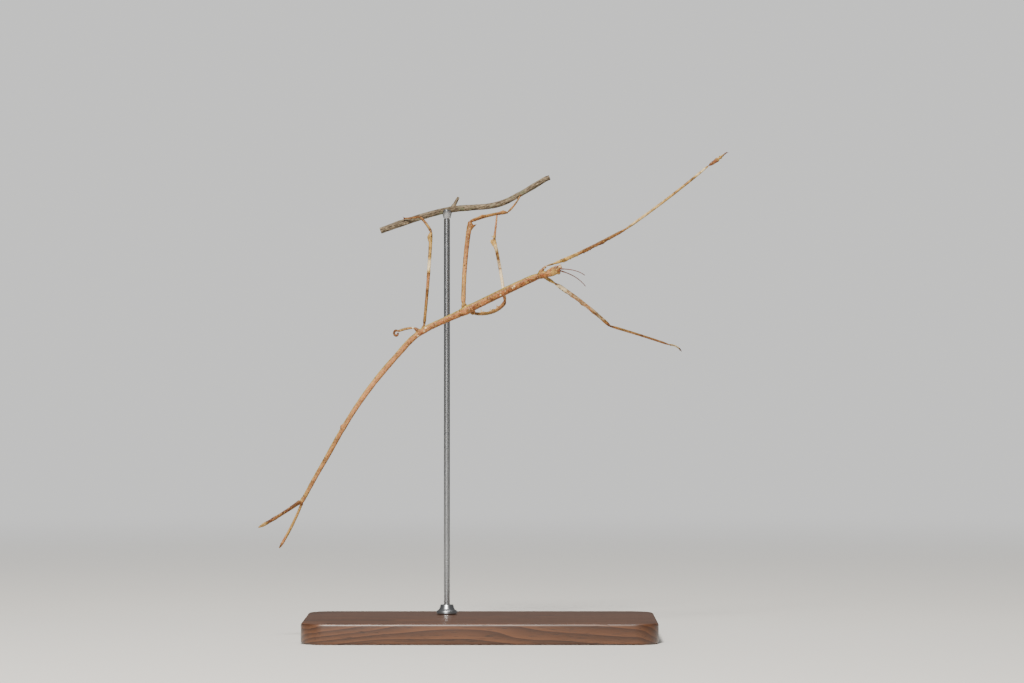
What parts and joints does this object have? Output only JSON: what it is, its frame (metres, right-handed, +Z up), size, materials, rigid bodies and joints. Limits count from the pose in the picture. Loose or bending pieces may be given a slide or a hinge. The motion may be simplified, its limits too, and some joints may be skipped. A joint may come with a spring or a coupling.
{
  "type": "stick insect",
  "caption": "Life-size stick insect hanging from a cut twig, one foreleg stretched forward, abdomen drooping to two long cerci, on a plain stand.",
  "frame": {"origin": "middle of the stand base's underside", "axes": "+Z up, +X towards the insect's head, -Y the side that the insect's back faces"},
  "size_m": [0.2269, 0.1049, 0.2364],
  "materials": {
    "insect_skin": "matte mottled tan-brown cuticle",
    "insect_pale_skin": "matte straw cuticle",
    "insect_red_skin": "satin red-brown cuticle",
    "insect_eye": "glossy, pale rim",
    "twig_bark": "rough grey-brown bark",
    "stand_wood": "dark stained, satin",
    "stand_steel": "brushed"
  },
  "bodies": {
    "root": {"head": "insect_skin", "prothorax": "insect_skin", "mesothorax": "insect_skin", "metathorax": "insect_skin", "abdomen_2": "insect_skin", "abdomen_3": "insect_skin", "abdomen_4": "insect_skin", "abdomen_5": "insect_skin", "abdomen_6": "insect_skin", "abdomen_7": "insect_skin", "abdomen_8": "insect_skin", "abdomen_9": "insect_skin", "abdomen_10": "insect_skin", "cercus_left": "insect_skin", "cercus_right": "insect_skin", "fore_left_femur": "insect_skin", "fore_right_femur": "insect_skin", "mid_left_femur": "insect_skin", "mid_right_femur": "insect_skin", "hind_right_femur": "insect_skin", "hind_left_femur": "insect_skin", "mouthparts": "insect_pale_skin", "fore_left_tibia": "insect_pale_skin", "fore_right_tibia": "insect_pale_skin", "mid_left_tibia": "insect_pale_skin", "mid_right_tibia": "insect_pale_skin", "hind_right_tibia": "insect_pale_skin", "fore_left_coxa": "insect_red_skin", "fore_right_coxa": "insect_red_skin", "mid_left_coxa": "insect_red_skin", "mid_right_coxa": "insect_red_skin", "hind_right_coxa": "insect_red_skin", "hind_left_coxa": "insect_red_skin", "fore_left_tarsus": "insect_red_skin", "fore_right_tarsus": "insect_red_skin", "mid_left_tarsus": "insect_red_skin", "mid_right_tarsus": "insect_red_skin", "hind_right_tarsus": "insect_red_skin", "hind_left_tibia": "insect_red_skin", "antenna_left": "insect_red_skin", "antenna_right": "insect_red_skin", "eye_left": "insect_eye", "eye_right": "insect_eye", "perch_twig": "twig_bark", "perch_shoot": "twig_bark", "stand_base": "stand_wood", "stand_rod": "stand_steel", "stand_collar": "stand_steel", "stand_cradle": "stand_steel"}
  },
  "joints": []
}
